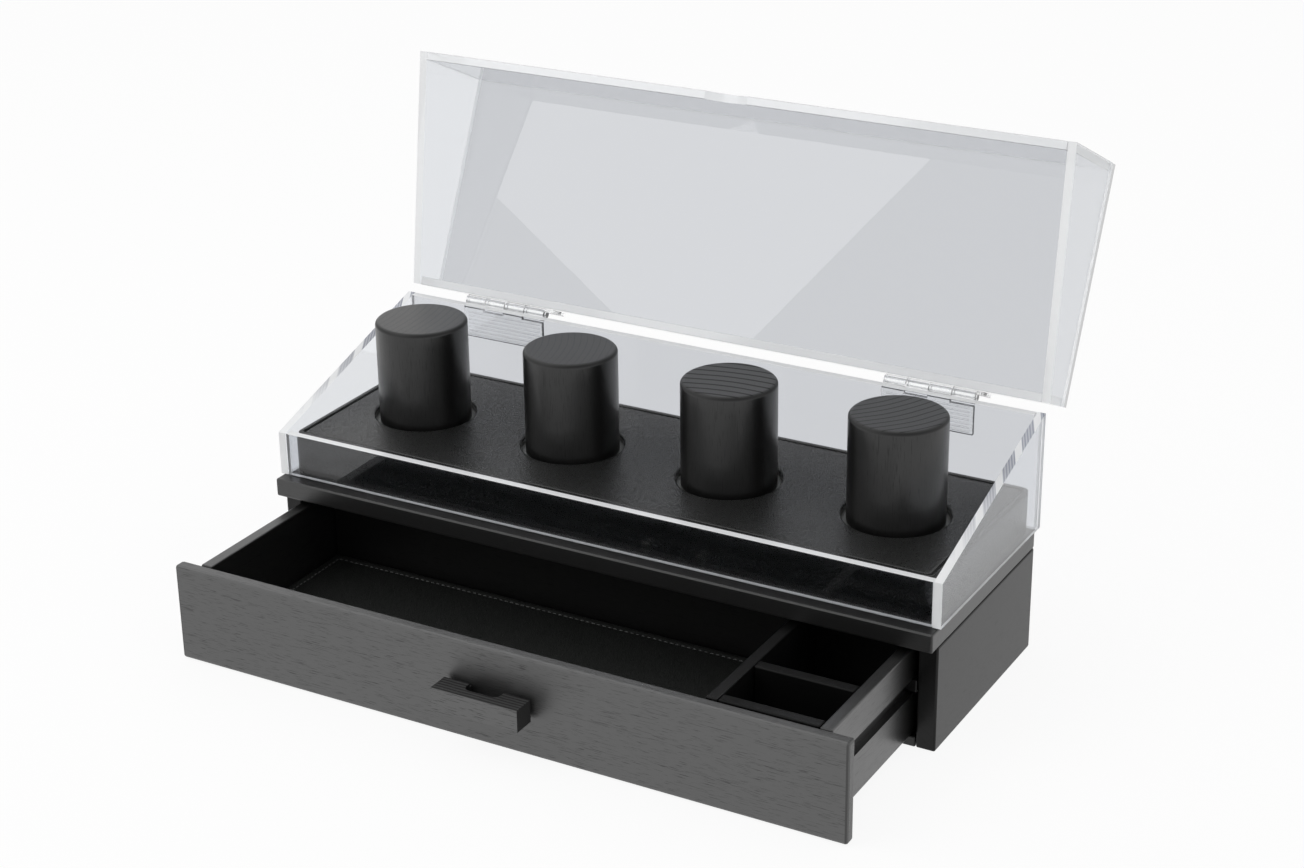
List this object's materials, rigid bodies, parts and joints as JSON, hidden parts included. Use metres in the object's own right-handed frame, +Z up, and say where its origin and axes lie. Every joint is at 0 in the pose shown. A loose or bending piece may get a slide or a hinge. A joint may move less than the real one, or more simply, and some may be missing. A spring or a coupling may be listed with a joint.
{
  "type": "watch display stand",
  "caption": "Black wooden watch stand with a drawer, a leather deck with lift-out round posts and a clear case with a hinged clear lid.",
  "frame": {"origin": "centre of the carcass's underside, where the stand rests on a table", "axes": "+X to the right along the stand's length, +Y to the back, +Z up"},
  "size_m": [0.3456, 0.2861, 0.2378],
  "materials": {
    "black_wood": "black-stained open-pore, satin",
    "black_leather": "smooth, stitched",
    "fibreboard": "raw",
    "clear_acrylic": "polished, clear",
    "clear_plastic": "moulded, clear",
    "plated_steel": "nickel plated"
  },
  "bodies": {
    "stand": {"carcass_side_left": "black_wood", "carcass_side_right": "black_wood", "carcass_bottom": "black_wood", "carcass_back": "black_wood", "top_board": "black_wood", "runner_left": "black_wood", "runner_right": "black_wood", "deck_core": "fibreboard", "deck_cover": "black_leather", "case_front_wall": "clear_acrylic", "case_back_wall": "clear_acrylic", "case_side_left": "clear_acrylic", "case_side_right": "clear_acrylic", "hinge_left_case_leaf": "clear_plastic", "hinge_left_pin": "clear_plastic", "hinge_right_case_leaf": "clear_plastic", "hinge_right_pin": "clear_plastic"},
    "drawer": {"drawer_front": "black_wood", "drawer_side_left": "black_wood", "drawer_side_right": "black_wood", "drawer_back": "black_wood", "drawer_bottom": "black_wood", "lining_long": "black_leather", "lining_small_front": "black_leather", "lining_small_back": "black_leather", "organiser_wall": "black_wood", "organiser_front": "black_wood", "organiser_divider": "black_wood", "drawer_pull": "black_wood", "pull_screw_left": "plated_steel", "pull_screw_right": "plated_steel"},
    "lid": {"lid_top": "clear_acrylic", "lid_front_wall": "clear_acrylic", "lid_back_wall": "clear_acrylic", "lid_side_left": "clear_acrylic", "lid_side_right": "clear_acrylic", "hinge_left_lid_leaf": "clear_plastic", "hinge_right_lid_leaf": "clear_plastic"},
    "post_1": {"post_1": "black_wood"},
    "post_2": {"post_2": "black_wood"},
    "post_3": {"post_3": "black_wood"},
    "post_4": {"post_4": "black_wood"}
  },
  "joints": [
    {"name": "drawer_slide", "type": "slide", "parent": "stand", "child": "drawer", "axis": [0, -1, 0], "range_m": [-0.0797, 0.01]},
    {"name": "lid_hinge", "type": "hinge", "parent": "stand", "child": "lid", "pos_m": [0, 0.0604, 0.11715], "axis": [-1, 0, 0], "range_deg": [-115, 0]},
    {"name": "post_1_lift", "type": "slide", "parent": "stand", "child": "post_1", "axis": [0, 0, 1], "range_m": [0, 0.007]},
    {"name": "post_2_lift", "type": "slide", "parent": "stand", "child": "post_2", "axis": [0, 0, 1], "range_m": [0, 0.007]},
    {"name": "post_3_lift", "type": "slide", "parent": "stand", "child": "post_3", "axis": [0, 0, 1], "range_m": [0, 0.007]},
    {"name": "post_4_lift", "type": "slide", "parent": "stand", "child": "post_4", "axis": [0, 0, 1], "range_m": [0, 0.007]}
  ]
}
